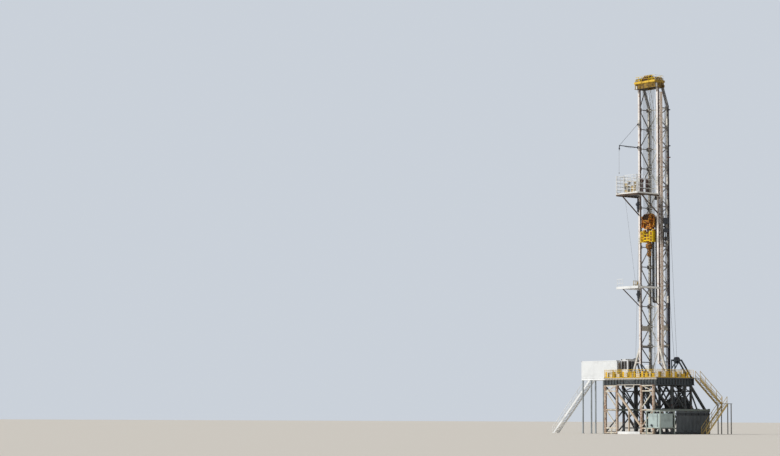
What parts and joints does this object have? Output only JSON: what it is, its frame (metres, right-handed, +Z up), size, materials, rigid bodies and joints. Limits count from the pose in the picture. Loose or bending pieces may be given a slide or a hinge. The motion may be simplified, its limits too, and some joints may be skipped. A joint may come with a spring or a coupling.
{
  "type": "scale model of a land drilling rig",
  "caption": "Land drilling rig at one tenth scale: front-opening lattice mast with crown, travelling block and top drive over a raised floor with doghouse, cabin and stairs.",
  "frame": {"origin": "centre of the rotary table's opening at drill floor level, above the well", "axes": "+Z up; -Y towards the open front of the mast; +Y towards the drawworks; +X away from the doghouse"},
  "size_m": [2.6854, 1.438, 4.925],
  "materials": {
    "white_paint": "satin",
    "dark_steel": "satin",
    "beige_paint": "satin",
    "yellow_paint": "satin",
    "orange_paint": "satin",
    "green_paint": "satin",
    "deck_steel": "rough",
    "bare_steel": "rough",
    "black_rubber": "matte",
    "glass": "clear"
  },
  "bodies": {
    "root": {"base_left_outer": "dark_steel", "base_left_inner": "dark_steel", "base_right_inner": "dark_steel", "base_right_outer": "dark_steel", "base_left_cross": "white_paint", "base_right_cross": "white_paint", "ground_spreaders": "white_paint", "front_brace": "beige_paint", "rear_braces": "dark_steel", "rear_platform": "deck_steel", "floor_girders": "dark_steel", "floor_cross_beams": "dark_steel", "floor_deck": "deck_steel", "rotary_plate": "deck_steel", "rotary_table": "bare_steel", "drawworks": "dark_steel", "trip_tank_shell": "green_paint", "trip_tank_ends": "green_paint", "trip_tank_frame": "white_paint", "mast_left_side": "white_paint", "mast_right_side": "white_paint", "mast_back": "white_paint", "mast_struts": "white_paint", "standpipe": "beige_paint", "crown_frame": "yellow_paint", "crown_rails": "white_paint", "drill_lines": "bare_steel", "fast_line": "bare_steel", "service_loop": "black_rubber", "racking_board": "white_paint", "racking_fingers": "dark_steel", "racking_walls": "white_paint", "belly_board": "white_paint", "board_rails": "white_paint", "a_frame_left": "dark_steel", "a_frame_right": "dark_steel", "raising_sheaves": "bare_steel", "raising_lines": "bare_steel", "doghouse_walls": "white_paint", "doghouse_roof": "white_paint", "doghouse_floor": "white_paint", "doghouse_legs": "white_paint", "doghouse_door": "beige_paint", "cabin_walls": "white_paint", "cabin_glass": "glass", "cabin_roof": "white_paint", "winch_cabinet": "white_paint", "floor_rails": "yellow_paint", "left_stair_sides": "white_paint", "left_stair_treads": "deck_steel", "right_stair_sides": "beige_paint", "right_stair_treads": "deck_steel"},
    "crown_wheels": {"crown_sheaves": "bare_steel"},
    "hoist": {"travelling_block": "orange_paint", "top_drive": "yellow_paint", "pipe_handler": "orange_paint"},
    "block_wheels": {"block_sheaves": "bare_steel"},
    "jib_arm": {"jib": "dark_steel", "jib_line": "bare_steel"}
  },
  "joints": [
    {"name": "crown_wheels_turn", "type": "hinge", "parent": "root", "child": "crown_wheels", "pos_m": [0, 0, 4.099], "axis": [1, 0, 0], "continuous": true},
    {"name": "hoist_travel", "type": "slide", "parent": "root", "child": "hoist", "axis": [0, 0, 1], "range_m": [-0.9, 1.3], "deforming": ["drill_lines", "service_loop"]},
    {"name": "block_wheels_turn", "type": "hinge", "parent": "hoist", "child": "block_wheels", "pos_m": [0, 0, 2.18], "axis": [1, 0, 0], "continuous": true},
    {"name": "jib_swing", "type": "hinge", "parent": "root", "child": "jib_arm", "pos_m": [-0.175, -0.035, 3.18], "axis": [0, 0, 1], "range_deg": [-90, 45]}
  ]
}
